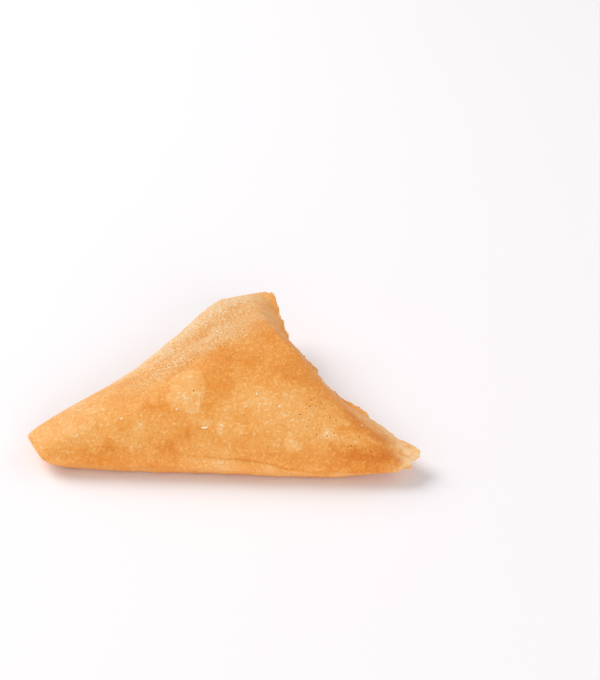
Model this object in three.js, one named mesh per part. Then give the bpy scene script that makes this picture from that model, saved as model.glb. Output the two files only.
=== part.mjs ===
import * as THREE from 'three';

// Driving dimensions, in millimetres and degrees.
// While it is shaped, the parcel lies on the floor z = 0 with its long folded edge along X at y = 0,
// so that its top corner points to +Y.
const CROWN_X = 13; // plan place of the highest point, from the middle of the long edge
const CROWN_Y = 30; // and from the long edge itself
const CROWN_RISE = 15.5; // how far the filling lifts the upper crust above the rim
const BELLY_DROP = 13; // how far it would push the lower crust below the rim
const RIM_HEIGHT = 4.7; // mid line of the rim above the floor at the long edge
const RIM_TILT = 0.109; // rise of the rim for each millimetre towards the top corner
const RIM_CURL = 3.6; // extra lift of the rim one CURL_REACH away from the long edge
const CURL_REACH = 60;
const FLOOR_ROUNDING = 1.2; // half height over which the belly turns into its flat resting spot

// The six sides of the plan outline, counter-clockwise from the long fold.
// faces: direction the side looks, from +X. away: its distance from the crown.
// pinch: how far its middle is drawn in, as a share of the distance from the crown.
// full and steep: exponents of the crust's profile towards it. half: half thickness of the rim.
const SIDES = [
  { name: 'longFold', faces: -90, away: 30, pinch: 0, full: 1.65, steep: 0.68, half: 2.6 },
  { name: 'sealedTip', faces: -34.5, away: 46, pinch: 0, full: 1, steep: 1.6, half: 0.8 },
  { name: 'seam', faces: 35.5, away: 19.3, pinch: 0.35, full: 1.1, steep: 1.75, half: 0.7 },
  { name: 'topCorner', faces: 108, away: 36.3, pinch: 0, full: 1.3, steep: 1.1, half: 1.1 },
  { name: 'shortFold', faces: 138, away: 35, pinch: 0.08, full: 1.3, steep: 0.98, half: 1.6 },
  { name: 'foldedTip', faces: 213.5, away: 67.2, pinch: 0, full: 1.4, steep: 0.83, half: 1.5 },
];
const SEAM = SIDES.findIndex((side) => side.name === 'seam');

const DOME_FULLNESS = 2; // value of full at the crown, which makes it a smooth dome
const DOME_HALF = 2; // value of half at the crown, whatever the side
const ROUND_CENTRE = 3; // sharpness of the outline's and the profile's corners at the crown
const SHARP_RIM = 100; // and at the rim
const SHARPENING = 9; // exponent by which one becomes the other
const BLENDING = 8; // sharpness by which one side's profile becomes the next one's at the rim
const RIM_FLATNESS = 12; // exponent that keeps the rim's thickness up to its very edge
const PINCH_SHARPNESS = 6; // sharpness of the shares that spread a pinch along its side
const PINCH_FALLOFF = 1.5;

// The sealed edge: a thin flange with a wavy outline.
const FLANGE_SHARE = 0.22; // part of the distance from the crown that the flange takes up
const RIPPLES = [
  { length: 23, phase: 40, out: 0.5, up: 0.7 },
  { length: 9.5, phase: 150, out: 0.35, up: 0.35 },
];

// Soft lumps of filling under the upper crust: wave length, heading of the wave, phase and height.
const LUMPS = [
  { length: 46, heading: 20, phase: 60, height: 0.45 },
  { length: 31, heading: 115, phase: 200, height: 0.35 },
  { length: 22, heading: -35, phase: 10, height: 0.3 },
];

// Number of grid steps around the rim, and of grid steps from the crown over the rim to the belly.
const STEPS_AROUND = 148;
const STEPS_OVER = 32;

const radians = THREE.MathUtils.degToRad;
const clamp = THREE.MathUtils.clamp;

// Distance from the crown to the outline in one direction, and each side's share in making it.
// radius = (sum of (cos(angle to the side) / away) ^ sharpness) ^ (-1 / sharpness)
function outline(angle, sharpness) {
  const terms = SIDES.map((side) => {
    const towards = Math.max(0, Math.cos(angle - radians(side.faces))) / side.away;
    return towards ** sharpness;
  });
  const total = terms.reduce((sum, term) => sum + term, 0);
  return { radius: total ** (-1 / sharpness), shares: terms.map((term) => term / total) };
}

// A property of the sides, blended by their shares.
function blend(shares, property) {
  return SIDES.reduce((sum, side, i) => sum + shares[i] * side[property], 0);
}

// How far the outline is drawn in at one direction: most in the middle of each pinched side.
function pinch(angle) {
  const { shares } = outline(angle, PINCH_SHARPNESS);
  const humps = shares.map((share) => clamp(2 * share - 1, 0, 1) ** PINCH_FALLOFF);
  return blend(humps, 'pinch');
}

// Sum of sine waves along one line, with the named amplitude of each wave.
function waves(list, along, amplitude) {
  return list.reduce((sum, wave) => {
    const turn = (2 * Math.PI * along(wave)) / wave.length + radians(wave.phase);
    return sum + wave[amplitude] * Math.sin(turn);
  }, 0);
}

// Directions from the crown that cut the outline into steps of equal length.
function evenAngles(count) {
  const fine = 20 * count;
  const points = Array.from({ length: fine + 1 }, (_, i) => {
    const angle = (2 * Math.PI * i) / fine;
    const { radius } = outline(angle, SHARP_RIM);
    return new THREE.Vector2(radius * Math.cos(angle), radius * Math.sin(angle));
  });
  const walked = [0];
  for (let i = 1; i <= fine; i++) {
    walked.push(walked[i - 1] + points[i].distanceTo(points[i - 1]));
  }
  return Array.from({ length: count }, (_, i) => {
    const goal = (walked[fine] * i) / count;
    const after = Math.max(1, walked.findIndex((length) => length >= goal));
    const part = (goal - walked[after - 1]) / (walked[after] - walked[after - 1]);
    return (2 * Math.PI * (after - 1 + part)) / fine;
  });
}

// Height of the rim's mid line: level at the long fold and curling up towards the top corner.
function rimHeight(y) {
  return RIM_HEIGHT + RIM_TILT * y + RIM_CURL * (y / CURL_REACH) ** 2;
}

// The belly settles on the floor: a smooth step from the free height down to exactly zero.
function settle(z) {
  if (z < -FLOOR_ROUNDING) return 0;
  if (z > FLOOR_ROUNDING) return z;
  return (z + FLOOR_ROUNDING) ** 2 / (4 * FLOOR_ROUNDING);
}

// One point of the crust. over runs from 0 at the crown to 1 at the middle of the belly,
// and the rim is half way.
function crustPoint(angle, over) {
  const out = Math.sin(Math.PI * over);
  const sharpness = ROUND_CENTRE + (SHARP_RIM - ROUND_CENTRE) * out ** SHARPENING;
  const { radius } = outline(angle, sharpness);
  const { shares } = outline(angle, THREE.MathUtils.lerp(ROUND_CENTRE, BLENDING, out));
  const drawnIn = 1 - pinch(angle) * out ** 2;
  const reach = out * radius * drawnIn;

  const seamFaces = radians(SIDES[SEAM].faces);
  const bodyEnd = 1 - FLANGE_SHARE * shares[SEAM];
  const onFlange = shares[SEAM] * THREE.MathUtils.smoothstep(out, 0.8 * bodyEnd, 1);
  const alongSeam = () => reach * Math.sin(angle - seamFaces);
  const flare = reach + onFlange * waves(RIPPLES, alongSeam, 'out');
  const x = CROWN_X + flare * Math.cos(angle);
  const y = CROWN_Y + flare * Math.sin(angle);

  const inside = clamp(out / bodyEnd, 0, 1);
  const full = THREE.MathUtils.lerp(DOME_FULLNESS, blend(shares, 'full'), out);
  const body = (1 - inside ** full) ** blend(shares, 'steep');
  const thickest = THREE.MathUtils.lerp(DOME_HALF, blend(shares, 'half'), out);
  const half = Math.sqrt(Math.max(0, 1 - out ** RIM_FLATNESS)) * thickest;
  const rim = rimHeight(y) + onFlange * waves(RIPPLES, alongSeam, 'up');
  const heading = (wave) => x * Math.cos(radians(wave.heading)) + y * Math.sin(radians(wave.heading));
  if (over <= 0.5) {
    const filling = CROWN_RISE + waves(LUMPS, heading, 'height');
    return new THREE.Vector3(x, y, rim + half + filling * body);
  }
  return new THREE.Vector3(x, y, settle(rim - half - BELLY_DROP * body));
}

// The closed crust: a crown point, rings of points out over the rim and back under, and a belly point.
function crustGeometry() {
  const angles = evenAngles(STEPS_AROUND);
  const points = [crustPoint(0, 0)];
  for (let ring = 1; ring < STEPS_OVER; ring++) {
    points.push(...angles.map((angle) => crustPoint(angle, ring / STEPS_OVER)));
  }
  points.push(crustPoint(0, 1));

  const faces = [];
  const last = points.length - 1;
  const index = (ring, step) => 1 + (ring - 1) * STEPS_AROUND + (step % STEPS_AROUND);
  for (let step = 0; step < STEPS_AROUND; step++) {
    faces.push(0, index(1, step), index(1, step + 1));
    for (let ring = 1; ring < STEPS_OVER - 1; ring++) {
      const [a, b] = [index(ring, step), index(ring, step + 1)];
      const [c, d] = [index(ring + 1, step + 1), index(ring + 1, step)];
      faces.push(a, d, c, a, c, b);
    }
    faces.push(last, index(STEPS_OVER - 1, step + 1), index(STEPS_OVER - 1, step));
  }

  const geometry = new THREE.BufferGeometry().setFromPoints(points);
  geometry.setIndex(faces);
  return geometry;
}

// Moves a geometry so that the bottom centre of its bounding box is the origin.
function standOnOrigin(geometry) {
  geometry.computeBoundingBox();
  const { min, max } = geometry.boundingBox;
  geometry.translate(-(min.x + max.x) / 2, -(min.y + max.y) / 2, -min.z);
  geometry.computeVertexNormals();
  return geometry;
}

function samosa() {
  const crust = new THREE.MeshStandardMaterial({ color: 0xdd9443, roughness: 0.6, metalness: 0 });
  const mesh = new THREE.Mesh(standOnOrigin(crustGeometry()), crust);
  mesh.name = 'samosa';
  return mesh;
}

const part = new THREE.Group();
part.add(samosa());

export default part;
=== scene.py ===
from itertools import product

import bpy
import numpy as np
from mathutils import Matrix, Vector


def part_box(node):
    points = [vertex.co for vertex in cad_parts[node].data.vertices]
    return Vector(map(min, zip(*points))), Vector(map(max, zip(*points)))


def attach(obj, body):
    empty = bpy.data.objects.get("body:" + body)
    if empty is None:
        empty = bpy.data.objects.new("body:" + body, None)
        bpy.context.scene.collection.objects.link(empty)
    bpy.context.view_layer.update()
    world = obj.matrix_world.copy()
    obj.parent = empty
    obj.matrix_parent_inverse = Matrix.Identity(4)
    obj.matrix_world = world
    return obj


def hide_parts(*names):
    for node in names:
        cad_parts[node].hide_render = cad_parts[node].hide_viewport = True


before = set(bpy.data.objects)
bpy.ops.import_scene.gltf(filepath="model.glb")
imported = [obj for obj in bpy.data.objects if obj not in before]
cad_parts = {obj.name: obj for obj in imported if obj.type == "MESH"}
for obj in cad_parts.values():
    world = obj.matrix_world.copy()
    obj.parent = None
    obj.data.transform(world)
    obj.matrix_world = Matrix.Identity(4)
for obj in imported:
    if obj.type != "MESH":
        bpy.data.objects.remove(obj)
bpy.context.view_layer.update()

# ---- Camera ----------------------------------------------------------------------------------------
# A camera with a long lens, nearly half a metre off, looks down at the long folded edge from the front.
# It comes first so that every piece can be judged from one place.

cad_low, cad_high = (np.array(corner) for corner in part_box("samosa"))
FOLD_LENGTH = 105.9  # length of the parcel along its long fold, in millimetres
mm = (cad_high[0] - cad_low[0]) / FOLD_LENGTH

CAMERA_DISTANCE = 0.45
CAMERA_AZIMUTH = np.radians(3.1)
CAMERA_ELEVATION = np.radians(40)
LENS = 100.0
SENSOR = 36.0
FOOT_RIGHT = -0.13  # place of the long fold's foot in the frame, in frame widths from the middle
FOOT_UP = -0.2233
FOOT_PLACE = -0.2, 2.6  # that foot, from the box's middle and its front, in millimetres


def aim(camera, point, right, up):
    """Turns a camera so that a point falls at a place right of and above the frame's middle.

    The camera first looks straight at the point with a level horizon. It then turns by the shortest way
    that takes (right, up, -1), the point's wanted direction in the camera's own axes, to (0, 0, -1).
    """
    level = (Vector(point) - camera.location).to_track_quat("-Z", "Y")
    aside = Vector((right, up, -1)).rotation_difference(Vector((0, 0, -1)))
    camera.rotation_euler = (level @ aside).to_euler()


lens = bpy.data.cameras.new("camera")
lens.sensor_fit = "HORIZONTAL"
lens.sensor_width = SENSOR
lens.lens = LENS
lens.clip_start = 0.01
camera = bpy.data.objects.new("camera", lens)
bpy.context.scene.collection.objects.link(camera)
bpy.context.scene.camera = camera
foot = np.array([FOOT_PLACE[0] * mm, cad_low[1] + FOOT_PLACE[1] * mm, cad_low[2]])
back = np.array([
    np.sin(CAMERA_AZIMUTH) * np.cos(CAMERA_ELEVATION),
    -np.cos(CAMERA_AZIMUTH) * np.cos(CAMERA_ELEVATION),
    np.sin(CAMERA_ELEVATION),
])
camera.location = foot + CAMERA_DISTANCE * back
aim(camera, foot, FOOT_RIGHT * SENSOR / LENS, FOOT_UP * SENSOR / LENS)

# ---- Crust -----------------------------------------------------------------------------------------
# The crust is one sheet of wheat pastry, folded around its filling into a triangular parcel and fried.
# Its long edge and one leg are folds. The other leg is pressed together, and its rim stays thin,
# wavy and ragged.

# The six sides of the parcel seen from above, counter-clockwise from the long fold: the direction each
# faces, its distance from the crown, how far its middle is drawn in, the two exponents of the crust's
# profile towards it, and half the thickness of its rim. Lengths are in millimetres.
SEALED_TIP, SEAM = 1, 2  # places of the two torn sides in these lists
FACES = np.radians([-90, -34.5, 35.5, 108, 138, 213.5])
AWAY = np.array([30, 46, 19.3, 36.3, 35, 67.2])
PINCH = np.array([0, 0, 0.35, 0, 0.08, 0])
FULL = np.array([1.65, 1, 1.1, 1.3, 1.3, 1.4])
STEEP = np.array([0.68, 1.6, 1.75, 1.1, 0.98, 0.83])
HALF_RIM = np.array([2.6, 0.8, 0.7, 1.1, 1.6, 1.5])

CROWN = np.array([13.0, 30.0])  # plan place of the highest point, from the middle of the long fold
CROWN_RISE = 15.5  # how far the filling lifts the upper crust above the rim
BELLY_DROP = 13.0  # how far it would push the lower crust below the rim
DOME_FULLNESS = 2.0  # value of FULL at the crown, whatever the side
DOME_HALF = 2.0  # and of HALF_RIM
ROUND_CENTRE = 3.0  # sharpness of the outline's corners and of the blends between sides at the crown
SHARP_RIM = 100.0  # sharpness of the outline's corners at the rim
SHARPENING = 9.0  # exponent by which the outline goes from the one to the other
BLENDING = 8.0  # sharpness of the blends between sides at the rim
RIM_FLATNESS = 12.0  # exponent that keeps the rim's thickness up to its very edge
PINCH_SHARPNESS = 6.0  # sharpness of the shares that spread a pinch along its side
PINCH_FALLOFF = 1.5  # exponent by which a pinch fades towards its side's ends
RIM_HEIGHT = 4.7  # mid line of the rim above the floor at the long fold
RIM_TILT = 0.109  # rise of the rim for each millimetre towards the top corner
RIM_CURL = 3.6  # extra lift of the rim one CURL_REACH away from the long fold
CURL_REACH = 60.0
FLOOR_ROUNDING = 1.2  # half height over which the belly turns into its flat resting spot
FLANGE_SHARE = 0.22  # part of the distance from the crown that the pressed flange takes up

NOISE_CELLS = 64  # the noise repeats after this many cells
STEPS_AROUND = 580
SEAM_CROWDING = 2.0  # the steps along the ragged seam are shorter by a factor of 1 + this
ROWS_TOP = 112
ROWS_BELLY = 56


def outline(angle, sharpness):
    """Distance from the crown to the rim, and the share each side has in it.

    radius = (sum over the sides of (cos(angle to the side) / away) ^ sharpness) ^ (-1 / sharpness)
    """
    towards = np.clip(np.cos(angle[..., None] - FACES), 0, None) / AWAY
    terms = towards ** sharpness[..., None]
    total = terms.sum(-1)
    return total ** (-1 / sharpness), terms / total[..., None]


def even_angles(count):
    """Directions from the crown that cut the outline into equal steps, with shorter ones along the seam."""
    fine = np.linspace(0, 2 * np.pi, 20 * count + 1)
    radius, shares = outline(fine, np.full_like(fine, SHARP_RIM))
    steps = np.hypot(np.diff(radius * np.cos(fine)), np.diff(radius * np.sin(fine)))
    walked = np.concatenate([[0], np.cumsum(steps * (1 + SEAM_CROWDING * shares[1:, SEAM]))])
    return np.interp(np.arange(count) * walked[-1] / count, walked, fine)


def waves(along, table):
    """Sum of height * sin(2 pi along / length + phase) over a table of (length, phase, height)."""
    return sum(height * np.sin(2 * np.pi * along / length + np.radians(phase))
               for length, phase, height in table)


def soft_noise(points, cell, seed, shift=50):
    """Random values at the corners of a lattice of cubes, eased between them: from -1 to 1.

    Each corner's weight is the product of p^2 (3 - 2p) or of 1 - p^2 (3 - 2p) over the three axes, with p
    the share of the way across the cube. shift moves the points, and so picks another part of the pattern.
    """
    lattice = np.random.default_rng(seed).uniform(-1, 1, (NOISE_CELLS,) * 3)
    cells = (points + np.array(shift)) / cell
    corner = np.floor(cells).astype(int)
    part = cells - corner
    ease = part * part * (3 - 2 * part)
    total = np.zeros(points.shape[:-1])
    for step in product((0, 1), repeat=3):
        weight = np.where(step, ease, 1 - ease).prod(-1)
        i, j, k = np.moveaxis((corner + step) % NOISE_CELLS, -1, 0)
        total += weight * lattice[i, j, k]
    return total


def settle(height):
    """The belly on the floor: (height + r)^2 / 4r within r of it, and flat below."""
    r = FLOOR_ROUNDING
    return np.where(height < -r, 0, np.where(height > r, height, (height + r) ** 2 / (4 * r)))


def smooth(value, start, end):
    """Eased step from 0 at start to 1 at end: p^2 (3 - 2p), with p the share of the way between them."""
    part = np.clip((value - start) / (end - start), 0, 1)
    return part * part * (3 - 2 * part)


def blob(x, y, centre, size, turn=0.0):
    """Soft oval spot: 1 at its centre, exp(-1) at its half sizes, its long side turned by turn degrees."""
    c, s = np.cos(np.radians(turn)), np.sin(np.radians(turn))
    u = (x - centre[0]) * c + (y - centre[1]) * s
    v = (y - centre[1]) * c - (x - centre[0]) * s
    return np.exp(-((u / size[0]) ** 2) - (v / size[1]) ** 2)


over = np.concatenate([np.linspace(0, 0.5, ROWS_TOP + 1), np.linspace(0.5, 1, ROWS_BELLY + 1)[1:]])
theta, over = np.meshgrid(even_angles(STEPS_AROUND), over, indexing="ij")
out = np.sin(np.pi * over)
out[:, -1] = 0
radius, _ = outline(theta, ROUND_CENTRE + (SHARP_RIM - ROUND_CENTRE) * out**SHARPENING)
_, shares = outline(theta, ROUND_CENTRE + (BLENDING - ROUND_CENTRE) * out)
_, crisp = outline(theta, np.full_like(theta, 4 * BLENDING))
_, broad = outline(theta, np.full_like(theta, PINCH_SHARPNESS))
drawn_in = 1 - (np.clip(2 * broad - 1, 0, 1) ** PINCH_FALLOFF * PINCH).sum(-1) * out**2
reach = out * radius * drawn_in

# The pressed flange waves up and down. Its rim and the sealed tip's are torn in long waves, short waves
# and small chips.
RIPPLES_OUT = [(23, 40, 0.5), (9.5, 150, 0.35)]  # length, phase and height
RIPPLES_UP = [(23, 40, 0.7), (9.5, 150, 0.35)]
TEARS = [(4.3, 21, 0.9), (1.9, 22, 1.0), (0.8, 23, 0.9)]  # cell, seed and depth
body_end = 1 - FLANGE_SHARE * shares[..., SEAM]
on_flange = shares[..., SEAM] * smooth(out, 0.8 * body_end, 1)
along_seam = reach * np.sin(theta - FACES[SEAM])
rim_radius, _ = outline(theta, np.full_like(theta, SHARP_RIM))
rim_place = rim_radius[..., None] * np.stack([np.cos(theta), np.sin(theta), 0 * theta], -1)
tear = sum(depth * soft_noise(rim_place, cell, seed, (60, 60, 0)) for cell, seed, depth in TEARS)
torn = crisp[..., SEAM] + crisp[..., SEALED_TIP]
at_edge = torn * smooth(out, 0.93, 1)
flare = reach + on_flange * waves(along_seam, RIPPLES_OUT) + at_edge * tear
x = CROWN[0] + flare * np.cos(theta)
y = CROWN[1] + flare * np.sin(theta)

# Lumps of filling press the upper crust out.
LUMPS = [(46, 20, 60, 0.45), (31, 115, 200, 0.35), (22, -35, 10, 0.3)]  # length, heading, phase, height
lumps = sum(waves(x * np.cos(np.radians(heading)) + y * np.sin(np.radians(heading)),
                  [(length, phase, height)])
            for length, heading, phase, height in LUMPS)
full = DOME_FULLNESS + ((shares * FULL).sum(-1) - DOME_FULLNESS) * out
inside = np.clip(out / body_end, 0, 1)
body = (1 - inside**full) ** (shares * STEEP).sum(-1)
thickest = DOME_HALF + ((shares * HALF_RIM).sum(-1) - DOME_HALF) * out
half = np.sqrt(np.clip(1 - out**RIM_FLATNESS, 0, 1)) * thickest
rim = RIM_HEIGHT + RIM_TILT * y + RIM_CURL * (y / CURL_REACH) ** 2
rim = rim + on_flange * waves(along_seam, RIPPLES_UP)
top = rim + half + (CROWN_RISE + lumps) * body
belly = settle(rim - half - BELLY_DROP * body)
z = np.where(over <= 0.5, top, belly)
surface = np.stack([x, y, z], -1)


def outward(points):
    """Unit normals of a grid closed in its first direction: the cross product of its two slopes."""
    around = np.roll(points, -1, 0) - np.roll(points, 1, 0)
    across = np.gradient(points, axis=1)
    normal = np.cross(around, across)
    normal[:, 0] = (0, 0, -1)
    normal[:, -1] = (0, 0, 1)
    return -normal / np.maximum(np.linalg.norm(normal, axis=-1, keepdims=True), 1e-9)


def patch(x, y, centre, size, edge):
    """Flat-topped oval: an eased step from 1 inside to 0 outside where ((u / a)^4 + (v / b)^4)^(1/4) is 1."""
    reach = (((x - centre[0]) / size[0]) ** 4 + ((y - centre[1]) / size[1]) ** 4) ** 0.25
    return 1 - smooth(reach, 1 - edge, 1 + edge)


# Scraps of the outermost leaf of pastry that are still whole and pale: place on the upper side, from the
# middle of the long fold, and half sizes.
LEAVES = [
    ((-10.4, 13), (5, 5.2)), ((-0.4, 4.6), (1.2, 1.3)), ((19.2, 2.0), (2.0, 1.0)),
    ((27.5, 4.3), (2.4, 0.7)), ((33.5, 4.4), (2.8, 0.5)), ((39.5, 5.6), (2.2, 0.6)), ((32, 8.2), (1.8, 0.9)),
]
LEAF_EDGE = 0.3  # half width of the eased step round a leaf
WARPS = [(3.1, 13, 0.9), (0.9, 16, 0.35)]  # waver of every outline on the crust: cell, seed and length
upper = smooth(0.56 - over, 0, 0.03)  # 1 on the upper crust, 0 from just under the rim
warp = sum(length * soft_noise(surface, cell, seed, 30) for cell, seed, length in WARPS)
leaves = sum(patch(x + warp, y - warp, place, size, LEAF_EDGE / min(size)) for place, size in LEAVES) * upper

# Relief of the fried sheet, in millimetres: slack between the lumps, two sizes of goose flesh, blisters,
# leaves, and creases in the flange.
UNEVENNESS = [(8, 1, 0.24), (3.6, 2, 0.09), (1.7, 3, 0.06)]  # cell, seed and height
BLISTER_STEEPNESS, BLISTER_RARITY = 0.5, 0.55
LEAF_THICKNESS = 0.12
CREASE_DEPTH = 0.3
normal = outward(surface)
relief = sum(height * soft_noise(surface, cell, seed) for cell, seed, height in UNEVENNESS)
relief += BLISTER_STEEPNESS * np.clip(soft_noise(surface, 2.6, 4) - BLISTER_RARITY, 0, 1)
relief += LEAF_THICKNESS * leaves
relief += CREASE_DEPTH * shares[..., SEAM] * smooth(out, 0.86, 0.95) * soft_noise(surface, 1.3, 5)

# The torn rim shows the two layers that were pressed together, with a groove between them.
GROOVE_DEPTH, GROOVE_WIDTH = 0.5, 0.16
relief -= GROOVE_DEPTH * torn * np.exp(-(((z - rim) / GROOVE_WIDTH) ** 2)) * smooth(out, 0.97, 1)

# The end of the pastry sheet lies under the belly, with one edge running slantwise across it, and comes
# round on to the long fold as a thin flap. There its edge runs down towards the sealed tip: its height at
# a few places along the fold.
FLAP_X, FLAP_Z = [-14, 10, 16, 24, 34], [7.6, 6.2, 4.8, 3.1, 1.0]
FLAP_THICKNESS = 0.32
BELLY_EDGE = np.array([34.0, 1.0]), np.radians(114)  # a point of the edge under the belly, and its heading
EDGE_WAVER = 0.35  # how far the edge strays from its line
edge_noise = EDGE_WAVER * soft_noise(surface, 2.7, 14, 60)
belly_span = smooth(over, 0.55, 0.62)  # 1 on the belly, 0 from just under the rim
flap_line = z - np.interp(x, FLAP_X, FLAP_Z) - edge_noise
flap_span = smooth(x, -14, 0) * (1 - smooth(x, 31, 35)) * (y < 9) * (1 - belly_span)
(edge_x, edge_y), heading = BELLY_EDGE
belly_line = (x - edge_x) * np.sin(heading) - (y - edge_y) * np.cos(heading) + 2 * edge_noise
flap = flap_span * (1 - smooth(flap_line, -0.2, 0.02)) + belly_span * (1 - smooth(belly_line, -0.3, 0.3))
relief += FLAP_THICKNESS * flap

off_floor = smooth(z, 0.05, 1.0)  # the crust is pressed smooth where it rests
surface = surface + normal * (relief * off_floor)[..., None]

# Where the crust is toasted darker (above 0) or stays paler (below 0), and where painted shade darkens
# it along the seam side and below the crown: place on the upper side, half sizes, turn and depth of each
# spot.
SPOTS = [
    ((37, 1.4), (10, 1.8), 3, 1.6), ((24, 0.6), (8, 1.0), 0, 0.5), ((45, 2), (5, 2), 0, 0.5),
    # The three spots in the next row are painted shade along the seam side.
    ((33, 12), (9, 2.6), -42, 0.8), ((24, 17), (8, 2.6), -50, 0.5), ((41, 8), (6, 2.5), -35, 0.5),
    ((-30, 0.6), (4, 1.2), 0, 0.7), ((-37, 0.3), (5, 0.8), 0, 0.5), ((-13, 1.4), (2, 1.0), 0, 0.8),
    ((-14, 5), (5, 5), -10, 0.25), ((-9, 4.1), (0.9, 1.3), 0, 0.9), ((-3, 12), (2.2, 4.4), 0, 0.5),
    # The second spot in the next row, below the crown, is partly toasting and partly painted shadow.
    ((-18, 9), (3.5, 1.2), 0, 0.6), ((12, 19), (10, 3), -20, 0.5), ((-33, 8), (7, 2.5), 25, 0.35),
    ((11, 10), (10, 4.5), -10, -0.45), ((-5, 5.4), (1.6, 0.8), 0, -0.6),
    ((-22, 4), (2.5, 2.5), 0, -0.5), ((-40, 4), (6, 2.5), 0, -0.4), ((-49, 6), (5, 4), 0, -0.5),
    ((-8, 40), (5, 3), 40, 0.7), ((22, 36), (4, 7), 10, 0.6), ((30, 24), (4, 2.5), 0, 0.5),
    ((37, 7), (10, 3.5), -20, 0.7),
]
BROWNED = [(12, 11, 0.3), (4.5, 12, 0.22)]  # uneven browning: cell, seed and depth
DOME_TOAST_AND_SHADE = 0.45  # darker on the highest part: partly toasting, partly painted shadow of a second samosa leaning over it
LEAF_PALENESS, FLAP_PALENESS, RIM_SHEEN_PALENESS = 0.65, 0.4, 0.6
FLAP_EDGE_TOAST = 0.7
BELLY_TOAST, BELLY_EDGE_TOAST = 0.5, 0.9
RIDGE_X, RIDGE_Y = [-46, -20, 0, 13], [6, 15, 25, 31]  # the ridge from the folded tip to the crown

# Painted sheen behind the ridge, where the crust faces the light and is seen aslant: pale grain there, and
# the crust painted palest towards the rim.
behind_ridge = smooth(y - np.interp(x, RIDGE_X, RIDGE_Y) + 1.5 * warp, -2, 5)
behind_ridge = behind_ridge * (1 - smooth(x + 2 * warp, 0, 14))
to_rim = 1 - smooth(over + 0.04 * warp, 0.41, 0.6)
painted_sheen = behind_ridge * smooth(x, -36, -12) * to_rim
painted_rim_sheen = behind_ridge * smooth(out, 0.7, 0.92) * to_rim
spot = sum(depth * blob(x + warp, y + warp, place, size, turn) for place, size, turn, depth in SPOTS)
# This tone shift is toasting together with painted light: shade along the seam side and on the crown, and
# sheen towards the rim.
toasting_and_painted_light = sum(depth * soft_noise(surface, cell, seed) for cell, seed, depth in BROWNED)
toasting_and_painted_light += (spot * upper + DOME_TOAST_AND_SHADE * smooth(z, 17, 25) - LEAF_PALENESS * leaves
             - FLAP_PALENESS * flap * (1 - belly_span))
toasting_and_painted_light += FLAP_EDGE_TOAST * flap_span * np.exp(-(((flap_line - 0.15) / 0.2) ** 2))
# Painted sheen: the crust is made paler towards the rim behind the ridge.
toasting_and_painted_light -= RIM_SHEEN_PALENESS * painted_rim_sheen
toasting_and_painted_light += belly_span * (BELLY_TOAST + BELLY_EDGE_TOAST * np.exp(-(((belly_line - 0.3) / 0.4) ** 2)))

# Bare pale dough at the torn rim and at the sealed tip, painted light on the flange next to the tip, and the
# places where burst bubbles crowd.
tip = blob(x + 1.5 * warp, y + 1.5 * warp, (52, 6), (5.5, 5)) * upper
# Painted light: the flange next to the tip is made pale as if brightly lit.
tip += 0.6 * blob(x + warp, y + warp, (45, 13), (7, 2), -42) * upper
bare_and_painted_light = np.clip(0.9 * torn * smooth(out, 0.95, 0.995) + tip, 0, 1)
bare_and_painted_light = bare_and_painted_light * np.clip(0.8 + 0.8 * soft_noise(surface, 1.1, 15, 70), 0, 1)
pitting = (blob(x, y, (36, 5), (15, 4)) + 0.7 * blob(x, y, (26, 11), (8, 5)) + 0.15 * leaves
           + 0.8 * blob(x, y, (20, 38), (6, 7))) * upper

low, high = surface.min((0, 1)), surface.max((0, 1))
middle = np.array([(low[0] + high[0]) / 2, (low[1] + high[1]) / 2, low[2]])
target = np.array([(cad_low[0] + cad_high[0]) / 2, (cad_low[1] + cad_high[1]) / 2, cad_low[2]])


def to_frame(points):
    """Millimetres of the parcel to metres of the frame, with the middle of its foot at the CAD box's."""
    return (points - middle) * mm + target


def closed_mesh(name, grids, attributes):
    """A mesh of closed shells: grids is (shell, around, row, xyz), closed in its second direction.

    The first and the last row of each shell are single points.
    """
    shells, around, rows = grids.shape[:3]

    def flat(values):
        ends = values[:, :1, 0], values[:, :1, -1]
        inner = values[:, :, 1:-1].reshape(shells, around * (rows - 2), *values.shape[3:])
        joined = np.concatenate([ends[0], inner, ends[1]], 1)
        return joined.reshape(-1, *values.shape[3:])

    count = around * (rows - 2) + 2
    start = np.arange(shells)[:, None, None] * count
    step = start + np.arange(around)[:, None] * (rows - 2) + 1
    after = start + (np.arange(around)[:, None] + 1) % around * (rows - 2) + 1
    row = np.arange(rows - 3)
    quads = np.stack([step + row, step + row + 1, after + row + 1, after + row], -1).reshape(-1, 4)
    first = np.stack([start + 0 * step, step, after], -1).reshape(-1, 3)
    last = np.stack([start + 0 * step + count - 1, after + rows - 3, step + rows - 3], -1).reshape(-1, 3)
    mesh = bpy.data.meshes.new(name)
    mesh.from_pydata(flat(grids).tolist(), [], first.tolist() + quads.tolist() + last.tolist())
    for label, values in attributes.items():
        made = mesh.attributes.new(label, "FLOAT", "POINT")
        made.data.foreach_set("value", flat(values).astype(np.float32))
    mesh.shade_smooth()
    mesh.update()
    piece = bpy.data.objects.new(name, mesh)
    bpy.context.scene.collection.objects.link(piece)
    return piece


masks = {"toasting_and_painted_light": toasting_and_painted_light, "bare_and_painted_light": bare_and_painted_light, "pitting": pitting, "painted_sheen": painted_sheen}
crust = closed_mesh("crust", to_frame(surface)[None], {label: mask[None] for label, mask in masks.items()})
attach(crust, "root")
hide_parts("samosa")


def add(tree, kind, inputs=None, **settings):
    """Adds a shader node, sets its properties, and sets or links its inputs by name or number."""
    made = tree.nodes.new(kind)
    for key, value in settings.items():
        setattr(made, key, value)
    for key, value in (inputs or {}).items():
        if isinstance(value, bpy.types.NodeSocket):
            tree.links.new(value, made.inputs[key])
        else:
            made.inputs[key].default_value = value
    return made


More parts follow.
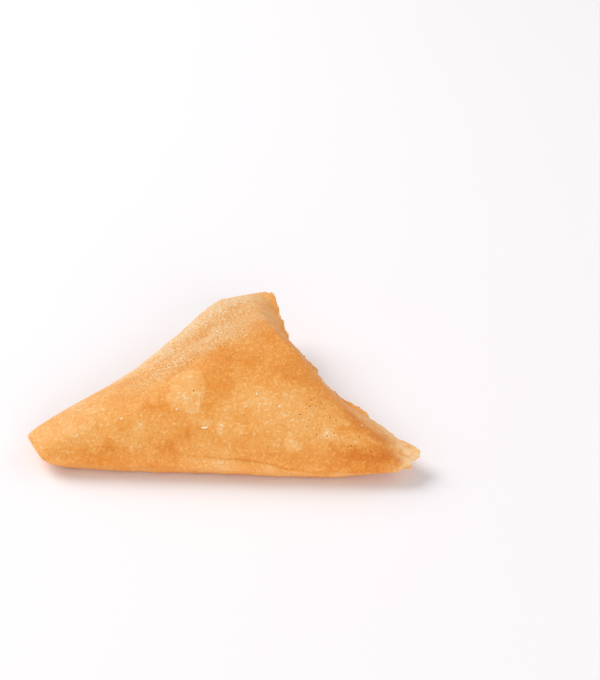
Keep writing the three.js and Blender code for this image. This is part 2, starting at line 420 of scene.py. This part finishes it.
def srgb(red, green, blue):
    """A display colour, 0 to 255, as the linear colour that a shader takes.

    linear = ((share + 0.055) / 1.055) ^ 2.4, or share / 12.92 where the share of 255 is small
    """
    share = np.array([red, green, blue]) / 255
    linear = np.where(share <= 0.04045, share / 12.92, ((share + 0.055) / 1.055) ** 2.4)
    return (*linear.tolist(), 1.0)


# Patterns in the crust's tone: the size of each in millimetres, and by how much it changes the tone.
PATCH_SIZE, PATCH_AMOUNT = 5, 0.09
COARSE_SIZE, COARSE_AMOUNT = 5, 0.24
MEDIUM_SIZE, MEDIUM_AMOUNT = 1.3, 0.2
FINE_SIZE, FINE_AMOUNT = 0.45, 0.42
FLECK_SIZE, FLECK_AMOUNT = 0.8, 0.14
PIT_SPACING, PIT_AMOUNT, HALO_AMOUNT = 1.35, 0.7, 0.08
PUSH, PUSH_SIZE = 3, 2.5  # how far the patches' outlines are pushed about, and over what size
GRAIN_HEIGHT = 0.28  # of the bumps, for a pattern from 0 to 1

# Colours of the crust: its darkest brown at tone 0, its palest cream at tone 1, bare dough (also the
# painted light on the flange next to the tip), and the golden browns between by their tone.
DARKEST, PALEST, BARE_DOUGH_AND_PAINTED_LIGHT = srgb(204, 92, 22), srgb(252, 226, 184), srgb(249, 208, 154)
BROWNING = [
    (0.2, srgb(218, 122, 36)), (0.42, srgb(234, 149, 60)), (0.58, srgb(242, 169, 86)),
    (0.76, srgb(247, 192, 124)),
]


def fried_pastry():
    """Golden crust whose colour goes by its tone, from brown at 0 to cream at 1.

    tone = 0.55 - 0.2 * (toast and painted shade, less painted sheen) + the sum of amount * (pattern - 1/2)
    over patches and three sizes of mottling + the pale flecks + pale grain of painted sheen - the pits
    + the paler ring round each pit
    """
    material = bpy.data.materials.new("fried_pastry")
    material.use_nodes = True
    tree = material.node_tree
    shader = tree.nodes["Principled BSDF"]
    place = add(tree, "ShaderNodeTexCoord").outputs["Object"]

    def math(operation, *values):
        return add(tree, "ShaderNodeMath", dict(enumerate(values)), operation=operation).outputs[0]

    def mask(name):
        return add(tree, "ShaderNodeAttribute", attribute_name=name).outputs["Fac"]

    def mottling(size, detail):
        return add(tree, "ShaderNodeTexNoise", {"Vector": place, "Scale": 1 / (size * mm), "Detail": detail}
                   ).outputs["Fac"]

    def eased(value, start, end):
        return add(tree, "ShaderNodeMapRange", {"Value": value, "From Min": start, "From Max": end},
                   interpolation_type="SMOOTHSTEP").outputs["Result"]

    coarse, medium, fine = mottling(COARSE_SIZE, 2), mottling(MEDIUM_SIZE, 2), mottling(FINE_SIZE, 1)
    push = add(tree, "ShaderNodeTexNoise", {"Vector": place, "Scale": 1 / (PUSH_SIZE * mm)}).outputs["Color"]
    push = add(tree, "ShaderNodeVectorMath", {0: push, 1: (PUSH * mm,) * 3}, operation="MULTIPLY").outputs[0]
    warped = add(tree, "ShaderNodeVectorMath", {0: place, 1: push}, operation="ADD").outputs[0]
    patches = add(tree, "ShaderNodeTexVoronoi", {"Vector": warped, "Scale": 1 / (PATCH_SIZE * mm)})
    patterns = [(patches.outputs["Color"], PATCH_AMOUNT), (coarse, COARSE_AMOUNT), (medium, MEDIUM_AMOUNT),
                (fine, FINE_AMOUNT)]
    # Toasting, painted shade and painted sheen come in through this mask.
    tone = math("MULTIPLY_ADD", mask("toasting_and_painted_light"), -0.2, 0.55)
    for value, amount in patterns:
        tone = math("ADD", tone, math("MULTIPLY_ADD", value, amount, -amount / 2))
    tone = math("MULTIPLY_ADD", eased(mottling(FLECK_SIZE, 0), 0.6, 0.72), FLECK_AMOUNT, tone)
    # Pale grain of painted sheen behind the ridge.
    sheen_grain = math("MULTIPLY", mask("painted_sheen"), math("MULTIPLY_ADD", fine, 1.2, -0.43))
    tone = math("ADD", tone, sheen_grain)

    dots = add(tree, "ShaderNodeTexVoronoi", {"Vector": place, "Scale": 1 / (PIT_SPACING * mm)})
    chosen = math("GREATER_THAN", dots.outputs["Color"], math("MULTIPLY_ADD", mask("pitting"), -0.65, 0.98))
    pit = math("MULTIPLY", chosen, eased(dots.outputs["Distance"], 0.22, 0.1))
    halo = math("MULTIPLY", chosen, eased(dots.outputs["Distance"], 0.5, 0.3))
    tone = math("MULTIPLY_ADD", pit, -PIT_AMOUNT, math("MULTIPLY_ADD", halo, HALO_AMOUNT, tone))

    ramp = add(tree, "ShaderNodeValToRGB", {"Fac": tone})
    stops = ramp.color_ramp
    stops.elements[0].position, stops.elements[0].color = 0.0, DARKEST
    stops.elements[1].position, stops.elements[1].color = 1.0, PALEST
    for position, colour in BROWNING:
        stops.elements.new(position).color = colour
    # Bare dough colour, also painted as light on the flange next to the tip.
    mixed = add(tree, "ShaderNodeMix", data_type="RGBA")
    tree.links.new(mask("bare_and_painted_light"), mixed.inputs["Factor"])
    tree.links.new(ramp.outputs["Color"], mixed.inputs[6])
    mixed.inputs[7].default_value = BARE_DOUGH_AND_PAINTED_LIGHT
    tree.links.new(mixed.outputs[2], shader.inputs["Base Color"])

    grain = math("ADD", math("MULTIPLY", medium, 0.6), math("SUBTRACT", fine, math("MULTIPLY", pit, 0.5)))
    grain = math("MULTIPLY", grain, math("MULTIPLY_ADD", mask("painted_sheen"), 1.0, 1.0))
    bump = add(tree, "ShaderNodeBump", {"Height": grain, "Distance": GRAIN_HEIGHT * mm, "Strength": 1.0})
    tree.links.new(bump.outputs["Normal"], shader.inputs["Normal"])
    tree.links.new(math("MULTIPLY_ADD", fine, 0.3, 0.36), shader.inputs["Roughness"])
    shader.inputs["Specular IOR Level"].default_value = 0.2
    shader.inputs["Sheen Weight"].default_value = 0.08
    shader.inputs["Sheen Roughness"].default_value = 0.5
    return material


crust.data.materials.append(fried_pastry())

# ---- Flakes ----------------------------------------------------------------------------------------
# Paper-thin flakes of dry dough that came loose in the pan, curled up and dried on to the crust. They are
# a millimetre or two long.

FLAKE_THICKNESS = 0.09
FLAKE_CURL = 0.28  # how far the ends of a flake of length 1 stand up
FLAKE_STEPS = 14, 8  # grid steps around a flake and over it
# Place on the upper side, from the middle of the long fold, then length, width and turn.
FLAKES = np.array([
    (-4.9, 4.9, 1.9, 0.5, 8), (-27, 6.5, 0.8, 0.5, 60), (-12.5, 8.2, 0.7, 0.4, 20),
    (8.5, 12.5, 0.8, 0.5, 100), (15, 9.5, 0.7, 0.5, 40), (26, 20, 0.9, 0.5, 140),
    (-2, 34, 1.2, 0.6, 75), (-16, 23, 0.9, 0.5, 30), (19, 41, 1.1, 0.5, 120),
    (6, 44, 0.8, 0.5, 10), (37, 9, 0.8, 0.4, 150),
])


def lying_at(place, turn):
    """Four vectors for each place: the nearest point of the crust, the direction along, aside and upright."""
    top = surface[:, :ROWS_TOP].reshape(-1, 3)
    nearest = np.hypot(*(top[:, None, :2] - place).transpose(2, 0, 1)).argmin(0)
    upright = outward(surface)[:, :ROWS_TOP].reshape(-1, 3)[nearest]
    along = np.stack([np.cos(turn), np.sin(turn), 0 * turn], -1)
    along = along - (along * upright).sum(-1, keepdims=True) * upright
    along = along / np.linalg.norm(along, axis=-1, keepdims=True)
    return [vector[:, None, None] for vector in (top[nearest], along, np.cross(upright, along), upright)]


def curled_flakes():
    """Closed shells: flat ellipsoids whose height is raised by curl * length * u^2, with u from -1 to 1."""
    around = np.linspace(0, 2 * np.pi, FLAKE_STEPS[0], endpoint=False)
    angle, rise = np.meshgrid(around, np.linspace(0, np.pi, FLAKE_STEPS[1]), indexing="ij")
    u = (np.sin(rise) * np.cos(angle))[..., None]
    v = (np.sin(rise) * np.sin(angle))[..., None]
    ground, along, aside, upright = lying_at(FLAKES[:, :2], np.radians(FLAKES[:, 4]))
    length, width = FLAKES[:, 2, None, None, None], FLAKES[:, 3, None, None, None]
    lift = FLAKE_CURL * length * u**2 + FLAKE_THICKNESS / 2 * (1 + np.cos(rise)[..., None])
    return ground + along * length / 2 * u + aside * width / 2 * v + upright * lift


flakes = closed_mesh("flakes", to_frame(curled_flakes()), {})
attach(flakes, "root")
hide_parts("samosa")


def plain_material(name, colour, roughness):
    """One colour and one roughness all over."""
    material = bpy.data.materials.new(name)
    material.use_nodes = True
    shader = material.node_tree.nodes["Principled BSDF"]
    shader.inputs["Base Color"].default_value = colour
    shader.inputs["Roughness"].default_value = roughness
    return material


flakes.data.materials.append(plain_material("dry_dough", srgb(250, 232, 200), 0.7))

# ---- Floor and light -------------------------------------------------------------------------------
# A plain white table top, a window behind the samosa on the left, a white wall on the right, a white card
# low in front, and a white room.

FLOOR_SIZE = 4.0
ROOM_BRIGHTNESS = 0.37
floor_mesh = bpy.data.meshes.new("floor")
edge = FLOOR_SIZE / 2
corners = [(-edge, -edge, 0), (edge, -edge, 0), (edge, edge, 0), (-edge, edge, 0)]
floor_mesh.from_pydata(corners, [], [(0, 1, 2, 3)])
floor = bpy.data.objects.new("floor", floor_mesh)
bpy.context.scene.collection.objects.link(floor)
floor_mesh.materials.append(plain_material("white_table", (0.95, 0.92, 0.935, 1), 0.7))


def soft_light(name, place, size, brightness):
    """A square lamp facing the samosa: a white card that faces it there shows the given brightness.

    power = brightness * (pi * distance)^2
    """
    lamp = bpy.data.lights.new(name, "AREA")
    lamp.size = size
    lamp.energy = brightness * (np.pi * np.linalg.norm(place)) ** 2
    held = bpy.data.objects.new(name, lamp)
    held.location = place
    held.rotation_euler = Vector(place).to_track_quat("Z", "Y").to_euler()
    bpy.context.scene.collection.objects.link(held)


soft_light("window", (-0.75, 0.4, 0.75), 0.7, 0.8)
soft_light("white_wall", (0.8, 0.25, 0.45), 0.8, 0.26)
soft_light("white_card", (0.25, -0.85, 0.2), 0.8, 0.65)

room = bpy.data.worlds.new("room")
bpy.context.scene.world = room
room.use_nodes = True
room.node_tree.nodes["Background"].inputs["Color"].default_value = (1, 1, 1, 1)
room.node_tree.nodes["Background"].inputs["Strength"].default_value = ROOM_BRIGHTNESS
bpy.context.scene.view_settings.view_transform = "Standard"
